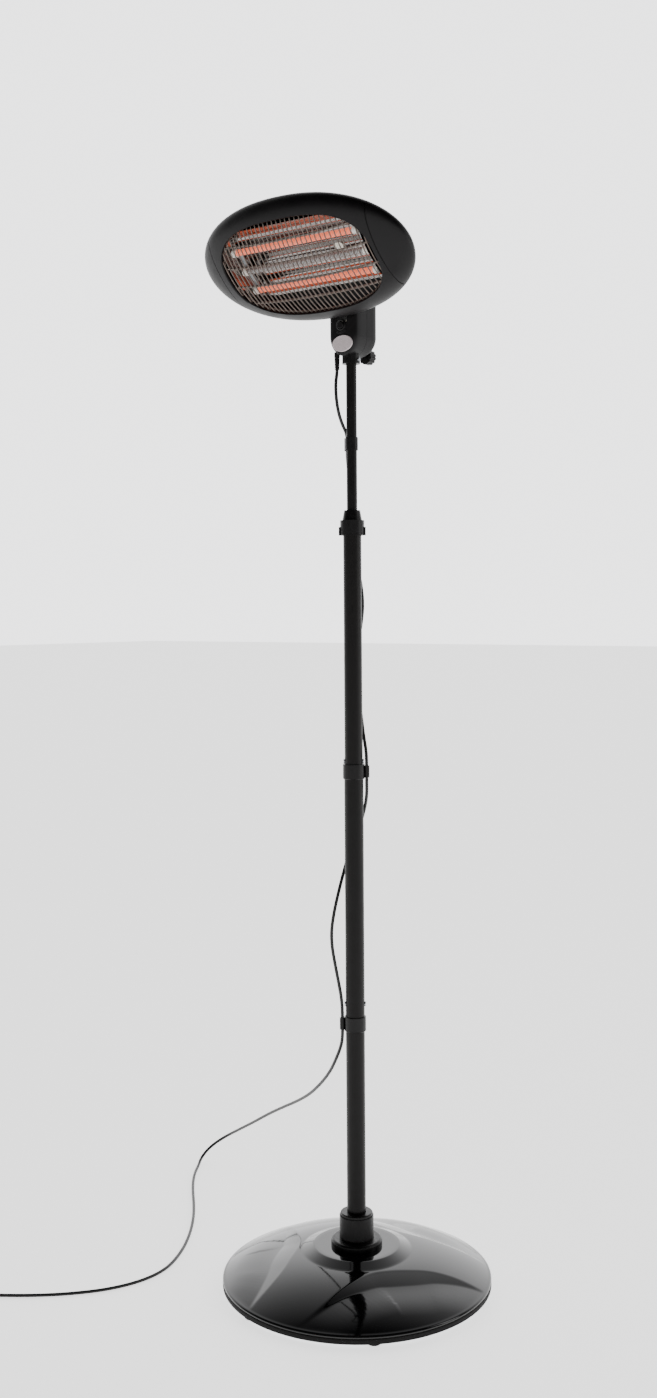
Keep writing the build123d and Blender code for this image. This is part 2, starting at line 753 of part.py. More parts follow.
# ================================================================ lead
exit_point = (*gland_place, neck_bottom - 14.0)
mast_clip_point = (*mast_lead, mast_clip_height)
upper_clip_point = (*upper_clip, upper_joint_height)
upper_route = [
    exit_point,
    (*gland_place, neck_bottom - 26.0),
    (-23.2, -16.4, 1662.0),
    (-21.6, -16.8, 1634.0),
    (-18.8, -13.6, 1608.0),
    (-16.4, -5.5, 1588.0),
    (*mast_lead, mast_clip_height + 19.0),
    mast_clip_point,
]
slack_route = [
    mast_clip_point,
    (*mast_lead, mast_clip_height - 20.0),
    (-16.0, 12.0, 1508.0),
    (-18.5, 20.0, 1477.0),
    (-20.5, 27.5, 1440.0),
    (-20.0, 31.0, 1400.0),
    (-16.5, 31.0, 1360.0),
    (-9.0, 28.5, 1328.0),
    (0.2, 26.6, 1298.0),
    (3.2, 27.2, 1264.0),
    (0.4, 26.0, 1232.0),
    (-6.0, 24.5, 1196.0),
    (-9.0, 24.0, 1150.0),
    (-6.0, 23.6, 1100.0),
    (2.0, 22.0, 1056.0),
    (9.0, 19.4, 1022.0),
    (16.0, 16.5, 998.0),
    (*upper_clip, upper_joint_height + 20.0),
    upper_clip_point,
]
lower_route = [
    upper_clip_point,
    (*upper_clip, upper_joint_height - 22.0),
    (16.5, 17.6, 915.0),
    (8.5, 22.0, 890.0),
    (-3.0, 24.5, 862.0),
    (-13.5, 21.5, 834.0),
    (-21.5, 13.5, 806.0),
    (-25.0, 2.5, 776.0),
    (-27.5, -9.5, 742.0),
    (-31.0, -19.5, 706.0),
    (-34.5, -25.7, 668.0),
    (-34.0, -25.6, 638.0),
    (-30.2, -22.8, 608.0),
    (-25.0, -18.6, 572.0),
    (-20.6, -15.5, 542.0),
    (*lower_clip, lower_joint_height + 24.0),
    (*lower_clip, lower_joint_height - 21.0),
    (-25.0, -9.0, 452.0),
    (-38.0, 0.0, 432.0),
    (-55.0, 11.0, 410.0),
    (-76.0, 26.0, 386.0),
    (-104.0, 44.0, 359.0),
    (-142.0, 68.0, 328.0),
    (-193.0, 102.0, 292.0),
    (-260.0, 145.0, 253.0),
    (-332.0, 187.0, 215.0),
    (-405.0, 227.0, 175.0),
    (-478.0, 265.0, 132.0),
    (-536.0, 293.0, 99.0),
    (-576.0, 311.0, 76.0),
    (-604.0, 321.5, 60.0),
    (-624.0, 320.0, 47.0),
    (-640.5, 309.0, 33.5),
    (-649.0, 291.0, 20.0),
    (-647.5, 271.0, 8.0),
    (-633.0, 248.0, 3.1),
    (-609.0, 210.0, 3.1),
    (-577.0, 170.0, 3.1),
    (-540.0, 130.0, 3.1),
    (-501.0, 91.0, 3.1),
    (-463.0, 51.0, 3.1),
    (-428.0, 10.0, 3.1),
    (-394.0, -35.0, 3.1),
    (-362.0, -84.0, 3.1),
    (-337.0, -133.0, 3.1),
    (-322.5, -172.0, 3.1),
    (-318.0, -206.0, 3.1),
    (-321.0, -241.0, 3.1),
    (-332.0, -277.0, 3.1),
    (-351.0, -314.0, 3.1),
    (-377.0, -348.0, 3.1),
    (-409.0, -382.0, 3.1),
    (-445.0, -413.0, 3.1),
    (-486.0, -443.0, 3.1),
    (-519.0, -464.5, 3.1),
    (-551.0, -487.0, 3.1),
]

cords = {}
for cord_name, route in (
    ("cord_upper", upper_route),
    ("cord_slack", slack_route),
    ("cord_lower", lower_route),
):
    radii = bend_radii(route)
    with BuildPart() as cord:
        with BuildLine() as cord_path:
            FilletPolyline(*route, radius=radii)
        first_run = Vector(route[1]) - Vector(route[0])
        with BuildSketch(Plane(origin=route[0], z_dir=first_run)):
            Circle(cord_radius)
        sweep()
    cords[cord_name] = cord
    path_length = sum(edge.length for edge in cord_path.edges())
    expected = path_length * math.pi * cord_radius**2
    print(cord_name, "length", round(path_length), "volume ratio", round(cord.part.volume / expected, 4),
          "smallest bend", round(min(radii), 1))

coil_inner = coil_mid_radius - coil_columns * cord_radius
coil_outer = coil_mid_radius + coil_columns * cord_radius
coil_centre = (-578.8, -453.3)
with BuildPart() as cord_coil:
    with BuildSketch():
        with Locations(coil_centre):
            Circle(coil_outer)
            Circle(coil_inner, mode=Mode.SUBTRACT)
    extrude(amount=2 * coil_rows * cord_radius)
    fillet(cord_coil.edges(), 2.5)

plug_line = coil_centre[1] - coil_outer + cord_radius
plug_start = (coil_centre[0] - plug_stand_off, plug_line, plug_radius)
with BuildPart() as plug:
    with BuildSketch(Plane(plug_start, z_dir=(-1, 0, 0))):
        Circle(plug_radius)
    extrude(amount=plug_length)
    with BuildSketch(Plane(plug_start, z_dir=(1, 0, 0))):
        Circle(cord_radius + 1.6)
    with BuildSketch(Plane((plug_start[0] + plug_sleeve, plug_line, plug_radius), z_dir=(1, 0, 0))):
        Circle(cord_radius + 0.6)
    loft()

pin_spacing = 19.0
pin_radius = 2.4
pin_length = 19.0
pin_start = (plug_start[0] - plug_length, plug_start[1], plug_start[2])
with BuildPart() as plug_pins:
    with BuildSketch(Plane(pin_start, x_dir=(0, 1, 0), z_dir=(-1, 0, 0))):
        with GridLocations(pin_spacing, 1, 2, 1):
            Circle(pin_radius)
    extrude(amount=pin_length)

# ---------------------------------------------------------------- write every piece
pieces = {
    "base_cover": base_cover,
    "base_plate": base_plate,
    "base_ballast": base_ballast,
    "base_feet": base_feet,
    "base_socket": base_socket,
    "socket_bolts": socket_bolts,
    "socket_ring": socket_ring,
    "lower_tube": lower_tube,
    "middle_tube": middle_tube,
    "upper_tube": upper_tube,
    "lower_spigot": lower_spigot,
    "upper_spigot": upper_spigot,
    "lower_joint_collar": lower_joint_collar,
    "upper_joint_collar": upper_joint_collar,
    "joint_screws": joint_screws,
    "lock_sleeve": lock_sleeve,
    "lock_collet": lock_collet,
    "lock_ring": lock_ring,
    "mast_tube": mast_tube,
    "mast_guide": mast_guide,
    "mast_clip": mast_clip,
    "neck_front_shell": neck_front_shell,
    "neck_rear_shell": neck_rear_shell,
    "neck_socket": neck_socket,
    "socket_screw": socket_screw,
    "neck_badge": neck_badge,
    "neck_screws": neck_screws,
    "pivot_bolt": pivot_bolt,
    "pivot_nut": pivot_nut,
    "terminal_block": terminal_block,
    "heat_switch": heat_switch,
    "heat_button": heat_button,
    "cord_gland": cord_gland,
    "neck_lock_knob": neck_lock_knob,
    "head_bezel": head_bezel,
    "head_rear_shell": head_rear_shell,
    "guard_grille": guard_grille,
    "reflector": reflector,
    "element_coils": element_coils,
    "element_holders": element_holders,
    "element_brackets": element_brackets,
    "tilt_bracket": tilt_bracket,
    "thermal_cutout": thermal_cutout,
    "cord_coil": cord_coil,
    "plug": plug,
    "plug_pins": plug_pins,
    **end_caps,
    **elements,
    **cords,
}
for name, piece in pieces.items():
    piece.part.label = name
    export_step(piece.part, f"parts/{name}.step")
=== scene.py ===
"""The looks of a free-standing outdoor heater: glossy round base, three-part pole, sliding mast and a
tilting oval head with three quartz tubes behind a wire guard. Lengths are in millimetres."""

import math

import bmesh
import bpy
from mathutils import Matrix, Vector


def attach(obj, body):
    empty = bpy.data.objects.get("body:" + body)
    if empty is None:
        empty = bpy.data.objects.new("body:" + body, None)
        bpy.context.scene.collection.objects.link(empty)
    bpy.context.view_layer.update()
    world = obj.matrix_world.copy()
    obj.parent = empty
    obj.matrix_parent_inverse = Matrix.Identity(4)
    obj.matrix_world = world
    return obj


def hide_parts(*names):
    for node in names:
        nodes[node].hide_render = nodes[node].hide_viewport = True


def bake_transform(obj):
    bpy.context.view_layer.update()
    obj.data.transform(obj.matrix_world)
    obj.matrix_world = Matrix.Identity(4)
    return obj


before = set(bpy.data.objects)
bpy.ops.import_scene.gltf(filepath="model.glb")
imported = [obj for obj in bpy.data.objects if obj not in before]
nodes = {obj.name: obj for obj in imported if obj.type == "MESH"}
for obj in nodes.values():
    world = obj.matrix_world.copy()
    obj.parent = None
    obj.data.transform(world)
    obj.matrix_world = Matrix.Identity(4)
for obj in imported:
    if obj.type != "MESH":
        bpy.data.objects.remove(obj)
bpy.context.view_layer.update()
MM = 0.001

# ---------------------------------------------------------------- camera
CAMERA_PLACE = (1641.1, -2177.9, 1259.0)
CAMERA_BEARING = math.radians(37.0)
CAMERA_YAW = math.radians(0.95)
CAMERA_PITCH = math.radians(-3.5)
CAMERA_ROLL = math.radians(0.42)
CAMERA_LENS = 38.55
SENSOR_HEIGHT = 36.0
VIEW_REACH = 200.0
UP = Vector((0, 0, 1))

towards = Vector((-math.sin(CAMERA_BEARING), math.cos(CAMERA_BEARING), 0))
rightwards = Vector((math.cos(CAMERA_BEARING), math.sin(CAMERA_BEARING), 0))
level = towards * math.cos(CAMERA_YAW) - rightwards * math.sin(CAMERA_YAW)
right = rightwards * math.cos(CAMERA_YAW) + towards * math.sin(CAMERA_YAW)
ahead = level * math.cos(CAMERA_PITCH) + UP * math.sin(CAMERA_PITCH)
above = UP * math.cos(CAMERA_PITCH) - level * math.sin(CAMERA_PITCH)
side_axis = right * math.cos(CAMERA_ROLL) - above * math.sin(CAMERA_ROLL)
top_axis = right * math.sin(CAMERA_ROLL) + above * math.cos(CAMERA_ROLL)
camera_data = bpy.data.cameras.new("camera")
camera_data.sensor_fit = "VERTICAL"
camera_data.sensor_height = SENSOR_HEIGHT
camera_data.lens = CAMERA_LENS
camera_data.clip_end = VIEW_REACH
camera = bpy.data.objects.new("camera", camera_data)
bpy.context.scene.collection.objects.link(camera)
for row, (a, b, c) in enumerate(zip(side_axis, top_axis, ahead)):
    for column, value in enumerate((a, b, -c, CAMERA_PLACE[row] * MM)):
        camera.matrix_world[row][column] = value
bpy.context.scene.camera = camera


# ---------------------------------------------------------------- mesh making
def made(name, corners, faces, smooth=60.0):
    """A mesh object from corners in millimetres. Edges sharper than smooth, in degrees, stay crisp."""
    mesh = bpy.data.meshes.new(name)
    mesh.from_pydata([Vector(c) * MM for c in corners], [], faces)
    tidy = bmesh.new()
    tidy.from_mesh(mesh)
    bmesh.ops.recalc_face_normals(tidy, faces=tidy.faces)
    for face in tidy.faces:
        face.smooth = True
    limit = math.radians(smooth)
    for edge in tidy.edges:
        edge.smooth = not (len(edge.link_faces) == 2 and edge.calc_face_angle() > limit)
    tidy.to_mesh(mesh)
    tidy.free()
    piece = bpy.data.objects.new(name, mesh)
    bpy.context.scene.collection.objects.link(piece)
    return piece


def grid(corners, faces, rows, close_across=False, close_along=False):
    """Adds rows of corners, joined by quads, to one mesh."""
    start = len(corners)
    wide = len(rows[0])
    for row in rows:
        corners.extend(row)
    for i in range(len(rows) - (0 if close_along else 1)):
        for j in range(wide - (0 if close_across else 1)):
            near, far = start + i * wide, start + (i + 1) % len(rows) * wide
            faces.append((near + j, near + (j + 1) % wide, far + (j + 1) % wide, far + j))
    return start


def tube(corners, faces, path, radius, sides=8, closed=False):
    """Adds a round bar along a path; radius is one number or one for each point."""
    path = [Vector(p) for p in path]
    radii = radius if isinstance(radius, (list, tuple)) else [radius] * len(path)
    count = len(path)
    rows = []
    normal = None
    for i, spot in enumerate(path):
        if closed:
            along = path[(i + 1) % count] - path[i - 1]
        else:
            along = path[min(i + 1, count - 1)] - path[max(i - 1, 0)]
        along.normalize()
        if normal is None:
            normal = along.orthogonal()
        normal = (normal - along * normal.dot(along)).normalized()
        other = along.cross(normal)
        rows.append([
            spot + radii[i] * (math.cos(t) * normal + math.sin(t) * other)
            for t in (2 * math.pi * k / sides for k in range(sides))
        ])
    start = grid(corners, faces, rows, close_across=True, close_along=closed)
    if not closed:
        faces.append(tuple(range(start, start + sides)))
        last = start + (count - 1) * sides
        faces.append(tuple(range(last, last + sides)))


def turned(corners, faces, profile, place, axis, sides=48):
    """Adds a closed profile of (radius, along) turned about an axis through a place."""
    axis = Vector(axis).normalized()
    first = axis.orthogonal().normalized()
    second = axis.cross(first)
    place = Vector(place)
    rows = []
    for k in range(sides):
        t = 2 * math.pi * k / sides
        out = math.cos(t) * first + math.sin(t) * second
        rows.append([place + radius * out + along * axis for radius, along in profile])
    grid(corners, faces, rows, close_across=True, close_along=True)


def blend_step(value):
    """0 to 1, with level ends."""
    value = min(1.0, max(0.0, value))
    return value * value * (3 - 2 * value)


# ---------------------------------------------------------------- materials
def linear(code):
    """An sRGB hex colour as the linear colour that a shader takes."""
    parts = [int(code[k:k + 2], 16) / 255 for k in (1, 3, 5)]
    return tuple(c / 12.92 if c <= 0.04045 else ((c + 0.055) / 1.055) ** 2.4 for c in parts) + (1.0,)


def add(tree, kind, inputs=(), links=(), stops=(), **settings):
    """Adds one node with its settings, input values, links and, on a colour ramp, two stops."""
    node = tree.nodes.new(kind)
    for name, value in settings.items():
        setattr(node, name, value)
    for socket, value in dict(inputs).items():
        node.inputs[socket].default_value = value
    for socket, source in dict(links).items():
        tree.links.new(source, node.inputs[socket])
    for element, (place, code) in zip(node.color_ramp.elements if stops else (), stops):
        element.position, element.color = place, linear(code)
    return node


def finish(name, shades, grain, rough, bump=0.0, bump_grain=0.0, **sockets):
    """A moulded or coated surface: two shades and roughness mottled at grain mm, and a fine bump."""
    material = bpy.data.materials.new(name)
    material.use_nodes = True
    tree = material.node_tree
    shader = tree.nodes["Principled BSDF"]
    where = add(tree, "ShaderNodeTexCoord").outputs["Object"]
    mottle = add(tree, "ShaderNodeTexNoise", {"Scale": 1 / (grain * MM), "Detail": 4.0, "Roughness": 0.6},
                 {"Vector": where}).outputs["Fac"]
    colours = add(tree, "ShaderNodeValToRGB", links={"Fac": mottle}, stops=zip((0.3, 0.7), shades))
    tree.links.new(colours.outputs["Color"], shader.inputs["Base Color"])
    least, most = rough
    spread = add(tree, "ShaderNodeMapRange",
                 {"From Min": 0.3, "From Max": 0.7, "To Min": least, "To Max": most}, {"Value": mottle})
    tree.links.new(spread.outputs["Result"], shader.inputs["Roughness"])
    if bump:
        fine = add(tree, "ShaderNodeTexNoise", {"Scale": 1 / (bump_grain * MM), "Detail": 2.0},
                   {"Vector": where})
        relief = add(tree, "ShaderNodeBump", {"Strength": 1.0, "Distance": bump * MM},
                     {"Height": fine.outputs["Fac"]})
        tree.links.new(relief.outputs["Normal"], shader.inputs["Normal"])
    for socket, value in sockets.items():
        shader.inputs[socket.replace("_", " ")].default_value = value
    return material


# Moulded ABS with a polished tool face: a deep black that mirrors the room, with a faint ripple.
gloss_abs = finish("polished_abs_black", ("#030304", "#060607"), 60, (0.05, 0.1), 0.02, 40, IOR=1.46)
# Cast concrete: grey, dull and pitted. It is hidden in the base.
concrete = finish("cast_concrete_grey", ("#8a8882", "#a29f98"), 6, (0.85, 0.95), 0.5, 2)
# Zinc-plated steel sheet: a spangled soft grey metal.
zinc_sheet = finish("zinc_plated_sheet", ("#9fa4a8", "#c0c4c7"), 9, (0.3, 0.45), Metallic=1.0)
# Moulded rubber: dull dark grey with a fine skin.
rubber = finish("moulded_rubber_black", ("#070606", "#0c0b0b"), 3, (0.7, 0.85), 0.05, 0.8, IOR=1.3)
# Zinc-plated screws: bright small heads, slightly worn.
zinc_screw = finish("zinc_plated_screw", ("#8f9296", "#c9ccd0"), 2, (0.2, 0.4), 0.02, 1, Metallic=1.0)
# Powder-coated steel tube: black with a fine orange peel that softens the highlight along it.
powder_coat = finish("powder_coated_tube_black", ("#060404", "#0a0706"), 14, (0.36, 0.46), 0.03, 1.6,
                     IOR=1.27)
# Moulded polypropylene: black with a fine spark-eroded grain.
moulded_black = finish("moulded_polypropylene_black", ("#060505", "#0b090a"), 8, (0.3, 0.42), 0.04,
                       0.9, IOR=1.3)
# Painted die-cast shell in satin black: an even soft sheen with fine orange peel.
satin_black = finish("satin_painted_shell_black", ("#050405", "#080607"), 30, (0.38, 0.46), 0.02, 1.2,
                     IOR=1.27)
# Brushed aluminium badge: pale with a trace of warm tint.
badge_metal = finish("brushed_aluminium_badge", ("#a89c9e", "#cfc4c5"), 1.2, (0.35, 0.5), 0.02, 0.5,
                     Metallic=0.2)
# Heat-blackened steel wire: dark brown against the glow, with a grey sheen where it sees the room.
dark_wire = finish("heat_blackened_wire", ("#554c47", "#70665f"), 4, (0.34, 0.46), 0.02, 0.8,
                   Metallic=0.8)
# White steatite ceramic: off-white, slightly grainy.
ceramic = finish("steatite_ceramic_white", ("#e4e0d6", "#f1eee6"), 3, (0.4, 0.55), 0.03, 0.8, IOR=1.6)
# PVC lead jacket: black, soft sheen, faint drag marks.
lead_pvc = finish("pvc_lead_jacket_black", ("#060606", "#0b0b0b"), 7, (0.38, 0.52), 0.02, 1.2, IOR=1.45)
# Nickel-plated brass pins.
nickel = finish("nickel_plated_brass", ("#b9b4a8", "#d6d1c6"), 2, (0.14, 0.26), Metallic=1.0)
# Dull resistance wire with a brown oxide skin.
wire_oxide = finish("oxidised_resistance_wire", ("#3c332d", "#5b5048"), 1, (0.5, 0.7), Metallic=0.7)
# A moulded housing inside the neck, ivory nylon.
nylon = finish("moulded_nylon_ivory", ("#cfc9b8", "#ddd8c9"), 5, (0.4, 0.5), 0.03, 1.0, IOR=1.52)


def mirror_sheet():
    """Bright rolled aluminium: a clear mirror with long faint roll lines and shallow dents 14 mm apart."""
    material = finish("bright_rolled_aluminium", ("#8f8b89", "#a5a19e"), 25, (0.07, 0.16), Metallic=1.0)
    tree = material.node_tree
    where = add(tree, "ShaderNodeTexCoord").outputs["Object"]
    stretched = add(tree, "ShaderNodeMapping", {"Scale": (0.12, 1.0, 1.0)}, {"Vector": where})
    dents = add(tree, "ShaderNodeTexNoise", {"Scale": 1 / (14 * MM), "Detail": 2.0},
                {"Vector": stretched.outputs["Vector"]})
    relief = add(tree, "ShaderNodeBump", {"Strength": 0.6, "Distance": 0.8 * MM},
                 {"Height": dents.outputs["Fac"]})
    tree.links.new(relief.outputs["Normal"], tree.nodes["Principled BSDF"].inputs["Normal"])
    return material


COIL_PITCH = 3.0
# The wave texture makes one band in each twentieth of a turn, at a scale of one.
BAND_SCALE = 2 * math.pi / 20 / (COIL_PITCH * MM)


def quartz(name, shades, glow=(), strength=0.0):
    """A quartz tube with its coil showing through as bands round the tube, one coil pitch apart."""
    material = bpy.data.materials.new(name)
    material.use_nodes = True
    tree = material.node_tree
    shader = tree.nodes["Principled BSDF"]
    where = add(tree, "ShaderNodeTexCoord").outputs["Object"]
    bands = add(tree, "ShaderNodeTexWave", {"Scale": BAND_SCALE, "Distortion": 0.3, "Detail": 1.0},
                {"Vector": where}, wave_type="BANDS", bands_direction="X").outputs["Fac"]
    colours = add(tree, "ShaderNodeValToRGB", links={"Fac": bands}, stops=zip((0.25, 0.8), shades))
    tree.links.new(colours.outputs["Color"], shader.inputs["Base Color"])
    shader.inputs["Roughness"].default_value = 0.16
    shader.inputs["IOR"].default_value = 1.46
    if glow:
        light = add(tree, "ShaderNodeValToRGB", links={"Fac": bands}, stops=zip((0.2, 0.8), glow))
        tree.links.new(light.outputs["Color"], shader.inputs["Emission Color"])
        shader.inputs["Emission Strength"].default_value = strength
    return material


# Bright rolled aluminium behind the tubes: it doubles them in pale streaks.
reflector_metal = mirror_sheet()
# Lit quartz: a salmon-orange glow, brighter where the hot coil lies.
lit_quartz = quartz("glowing_quartz_tube", ("#7a2c1a", "#b8644a"), glow=("#d84a2c", "#f58a68"), strength=1.25)
# Unlit quartz: pale glass with the grey coil behind it.
clear_quartz = quartz("unlit_quartz_tube", ("#4a4644", "#b4b0ae"))


def dress(piece, material):
    """The piece, in one material."""
    piece.data.materials.clear()
    piece.data.materials.append(material)
    return piece


# The CAD's own nodes that are shown as they are, by material.
CARRIED = {
    concrete: ("base_ballast",),
    rubber: ("base_feet", "cord_gland"),
    zinc_sheet: ("base_plate", "lower_spigot", "upper_spigot", "element_brackets"),
    zinc_screw: ("socket_bolts", "joint_screws", "socket_screw", "neck_screws"),
    powder_coat: ("lower_tube", "middle_tube", "upper_tube", "mast_tube"),
    moulded_black: ("base_socket", "socket_ring", "lower_joint_collar", "upper_joint_collar", "lock_sleeve",
                    "lock_ring", "mast_clip", "neck_socket", "pivot_bolt", "pivot_nut", "heat_button",
                    "neck_lock_knob", "plug"),
    satin_black: ("neck_front_shell", "neck_rear_shell", "tilt_bracket"),
    nylon: ("lock_collet", "mast_guide", "terminal_block", "heat_switch"),
    badge_metal: ("neck_badge",),
    ceramic: ("element_holders",),
    nickel: ("thermal_cutout", "plug_pins"),
}
for material, names in CARRIED.items():
    for name in names:
        dress(nodes[name], material)

# ---------------------------------------------------------------- lead
CORD_RADIUS = 3.1
# Where the three clips hold the lead, seen from above.
mast_lead = (-14.6, 5.5)
upper_clip = (18.93, 14.26)
lower_clip = (-18.93, -14.26)
LEAD_EXIT = (-22, -13, 1694)
route = [
    # down the mast, through the clip on it
    LEAD_EXIT, (-22, -13, 1682), (-23.2, -16.4, 1662), (-21.6, -16.8, 1634),
    (-18.8, -13.6, 1608), (-16.4, -5.5, 1588), (*mast_lead, 1572.5), (*mast_lead, 1553.5),
    (*mast_lead, 1533.5),
    # round the lock ring and the upper tube, to the upper collar
    (-19.5, 15.5, 1508), (-22, 24, 1477), (-22, 29, 1440), (-20, 31, 1400), (-16.5, 31, 1360),
    (-9, 28.5, 1328), (0.2, 26.6, 1298), (3.2, 27.2, 1264), (0.4, 26, 1232), (-6, 24.5, 1196),
    (-9, 24, 1150), (-6, 23.6, 1100), (2, 22, 1056), (9, 19.4, 1022), (16, 16.5, 998),
    (*upper_clip, 979), (*upper_clip, 959), (*upper_clip, 937),
    # round the middle tube, to the lower collar
    (16.5, 17.6, 915), (8.5, 22, 890), (-3, 24.5, 862), (-13.5, 21.5, 834), (-21.5, 13.5, 806),
    (-25, 2.5, 776), (-27.5, -9.5, 742), (-31, -19.5, 706), (-34.5, -25.7, 668), (-34, -25.6, 638),
    (-30.2, -22.8, 608), (-25, -18.6, 572), (-20.6, -15.5, 542), (*lower_clip, 515),
    (*lower_clip, 470),
    # out from the pole, down to the floor
    (-25, -9, 452), (-38, 0, 432), (-55, 11, 410), (-76, 26, 386), (-104, 44, 359), (-142, 68, 328),
    (-193, 102, 292), (-260, 145, 253), (-332, 187, 215), (-405, 227, 175), (-478, 265, 132),
    (-536, 293, 99), (-576, 311, 76), (-604, 321.5, 60), (-624, 320, 47), (-640.5, 309, 33.5),
    (-649, 291, 20), (-647.5, 271, 8),
    # along the floor, to the coil
    (-633, 248, 3.1), (-609, 210, 3.1), (-577, 170, 3.1), (-540, 130, 3.1), (-501, 91, 3.1),
    (-463, 51, 3.1), (-428, 10, 3.1), (-394, -35, 3.1), (-362, -84, 3.1), (-337, -133, 3.1),
    (-322.5, -172, 3.1), (-318, -206, 3.1), (-321, -241, 3.1), (-332, -277, 3.1), (-351, -314, 3.1),
    (-377, -348, 3.1), (-409, -382, 3.1), (-445, -413, 3.1), (-486, -443, 3.1), (-519, -464.5, 3.1),
]
COIL_CENTRE = (-578.8, -453.3)
COIL_OUTER = 43.3
COIL_STEP = 6.3
COIL_TURN_POINTS = 24
COIL_START = -56.0
COIL_END = 90.0
SPIRAL_TURNS = 3
RISE_TURNS = 1 / 6
PLUG_FACE = (-617.8, -496.6, 13.5)
# A spline of this order runs a little inside its points, so the points stand out by this much.
COIL_SWELL = 8 / (6 + 2 * math.cos(2 * math.pi / COIL_TURN_POINTS))
first_rise = SPIRAL_TURNS - RISE_TURNS / 2
second_spiral = first_rise + RISE_TURNS
second_rise = second_spiral + SPIRAL_TURNS
coil_turns = math.floor(second_rise + RISE_TURNS) + (COIL_END + COIL_START) / 360.0 + 1
step_count = round(coil_turns * COIL_TURN_POINTS)
# The turns run in along the floor, step up a diameter, and run out again on top.
for k in range(step_count):
    turn = k * coil_turns / step_count
    if turn < first_rise:
        radius = COIL_OUTER - COIL_STEP * turn
    elif turn < second_spiral:
        radius = COIL_OUTER - COIL_STEP * first_rise
    elif turn < second_rise:
        radius = COIL_OUTER - COIL_STEP * (first_rise - (turn - second_spiral))
    else:
        radius = COIL_OUTER
    risen = blend_step((turn - first_rise) / RISE_TURNS) + blend_step((turn - second_rise) / RISE_TURNS)
    height = CORD_RADIUS + COIL_STEP * risen
    angle = math.radians(COIL_START - 360.0 * turn)
    route.append((COIL_CENTRE[0] + COIL_SWELL * radius * math.cos(angle),
                  COIL_CENTRE[1] + COIL_SWELL * radius * math.sin(angle), height))
route += [
    (COIL_CENTRE[0] - 8, PLUG_FACE[1], 15.7), (COIL_CENTRE[0] - 18, PLUG_FACE[1], 15.2),
    (COIL_CENTRE[0] - 29, PLUG_FACE[1], 13.7), (PLUG_FACE[0] + 2, PLUG_FACE[1], 13.5),
]


def spline_points(points, steps):
    """Points along the smooth line that the route's points pull into shape."""
    line = bpy.data.curves.new("lead_line", "CURVE")
    line.dimensions = "3D"
    line.resolution_u = steps
    spline = line.splines.new("NURBS")
    spline.points.add(len(points) - 1)
    for spot, (x, y, z) in zip(spline.points, points):
        spot.co = (x, y, z, 1.0)
    spline.order_u = 3
    spline.use_endpoint_u = True
    holder = bpy.data.objects.new("lead_line", line)
    bpy.context.scene.collection.objects.link(holder)
    bpy.context.view_layer.update()
    read = bpy.data.meshes.new_from_object(holder)
    found = [v.co.copy() for v in read.vertices]
    bpy.data.objects.remove(holder)
    bpy.data.curves.remove(line)
    bpy.data.meshes.remove(read)
    return found


lead_path = spline_points(route, 4)
corners, faces = [], []
tube(corners, faces, lead_path, CORD_RADIUS, sides=12)
lead = dress(made("mains_lead", corners, faces), lead_pvc)
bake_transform(lead)
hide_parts("cord_upper", "cord_slack", "cord_lower", "cord_coil")

# Strain relief under the neck: a tapered rubber sleeve with rings moulded round it.
SLEEVE_FOOT = (-22, -13, 1686)
SLEEVE_LENGTH = 31.0
SLEEVE_TIP_RADIUS = 4.3
SLEEVE_BORE = CORD_RADIUS + 0.15
SLEEVE_RINGS = 7
RING_PITCH = 3.0
RING_GROOVE = 0.7
RING_GROWTH = 0.12
corners, faces = [], []
sleeve_profile = [(SLEEVE_BORE, 0), (SLEEVE_TIP_RADIUS, 0.4)]
for ring in range(SLEEVE_RINGS):
    foot = 2.2 + ring * RING_PITCH
    swell = SLEEVE_TIP_RADIUS + RING_GROWTH * ring
    sleeve_profile += [(swell, foot), (swell - RING_GROOVE, foot + 0.4), (swell - RING_GROOVE, foot + 1.2),
                       (swell + 0.1, foot + 1.6)]
sleeve_profile += [(5.2, 23.5), (5.0, SLEEVE_LENGTH), (SLEEVE_BORE, SLEEVE_LENGTH)]
turned(corners, faces, sleeve_profile, SLEEVE_FOOT, UP, sides=24)
strain_relief = dress(made("strain_relief_sleeve", corners, faces, 35), rubber)
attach(strain_relief, "mast")
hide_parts("cord_gland")

# Plug: a moulded body with a waist for the fingers and a tapered sleeve on the lead.
corners, faces = [], []
plug_profile = [
    (CORD_RADIUS + 0.1, -22), (3.9, -22), (4.3, -12), (4.9, -3), (6.6, -0.5), (9.6, 2), (11.8, 7), (11.0, 12),
    (10.2, 17), (10.8, 21), (12.9, 24), (13.4, 26), (13.4, 37), (12.8, 38), (CORD_RADIUS + 0.1, 38),
]
turned(corners, faces, plug_profile, PLUG_FACE, (-1, 0, 0), sides=40)
plug_body = dress(made("plug_body", corners, faces, 40), moulded_black)
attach(plug_body, "stand")
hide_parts("plug")

# ---------------------------------------------------------------- base cover
BASE_RADIUS = 250.0
PLATEAU = (80.0, 75.0)
SHOULDER = (102.0, 66.0)
DOME_FOOT = (246.0, 21.0)
DOME_ARC_CENTRE = (58.48, -326.16)
DOME_ARC_RADIUS = 394.56
COVER_WALL = 2.2
SOCKET_HOLE = 45.0
BAND_TOP, BAND_FOOT = 15.5, 5.0
